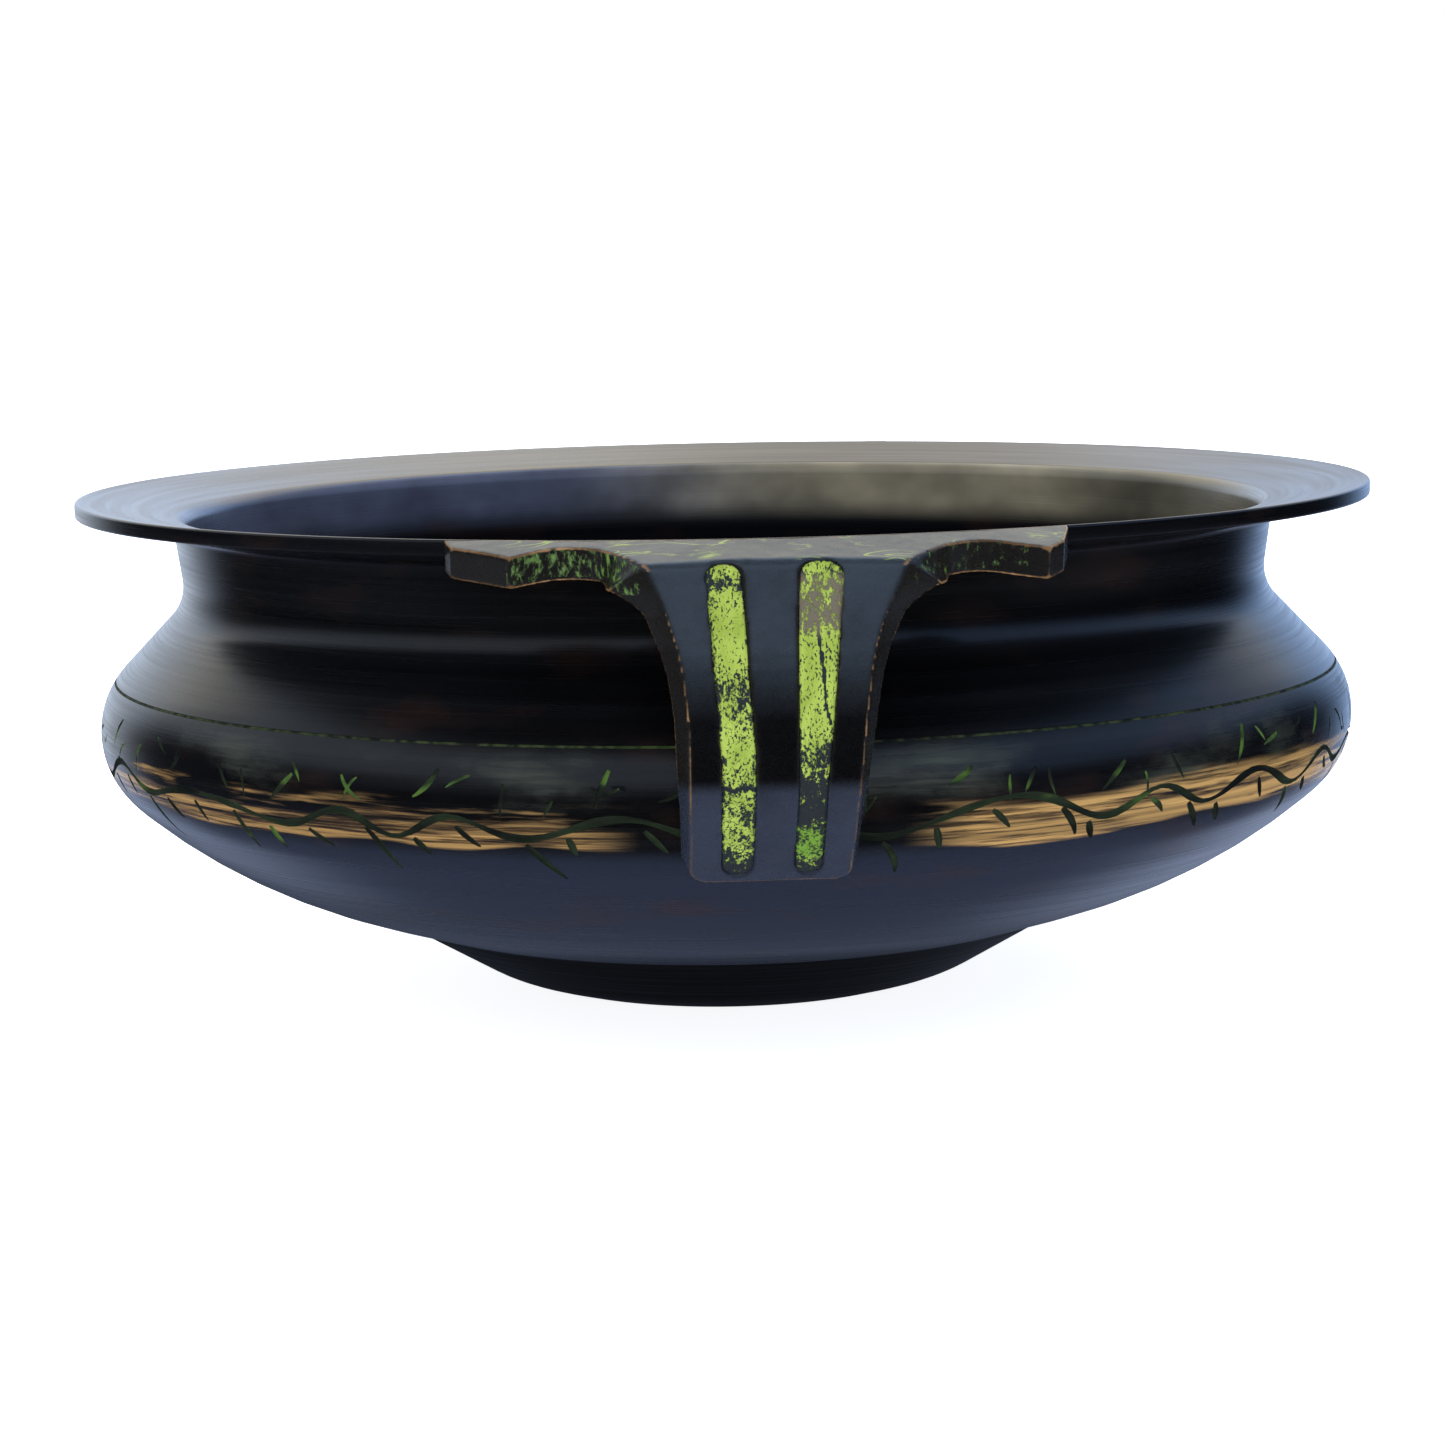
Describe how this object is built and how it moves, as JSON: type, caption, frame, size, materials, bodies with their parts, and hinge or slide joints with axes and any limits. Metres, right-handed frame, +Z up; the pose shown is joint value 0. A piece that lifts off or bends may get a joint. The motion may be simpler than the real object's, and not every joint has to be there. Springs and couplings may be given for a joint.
{
  "type": "urli bowl",
  "caption": "Wide shallow cast brass bowl with a sloping flange rim, pinched neck, rounded belly, low foot ring and grooved T-shaped handles.",
  "frame": {"origin": "centre of the face that the foot ring rests on", "axes": "+Z up along the bowl's turning axis, the handles on -Y (front) and +Y (rear)"},
  "size_m": [0.4, 0.44, 0.154],
  "materials": {
    "patinated_brass": "near-black patina on cast and turned brass, worn to gold on the lower belly",
    "handle_brass": "near-black patina on cast brass, worn bright along its edges",
    "dark_foot": "black patina on turned brass",
    "braze": "darkened braze metal",
    "green_fill": "patchy yellow-green pigment paste, chalky"
  },
  "bodies": {
    "root": {"bowl_shell": "patinated_brass", "belly_line_inlay": "green_fill", "foot_ring": "dark_foot", "foot_braze": "braze", "front_handle": "handle_brass", "front_handle_left_inlay": "green_fill", "front_handle_right_inlay": "green_fill", "front_handle_rim_braze": "braze", "front_handle_belly_braze": "braze", "rear_handle": "handle_brass", "rear_handle_left_inlay": "green_fill", "rear_handle_right_inlay": "green_fill", "rear_handle_rim_braze": "braze", "rear_handle_belly_braze": "braze"}
  },
  "joints": []
}
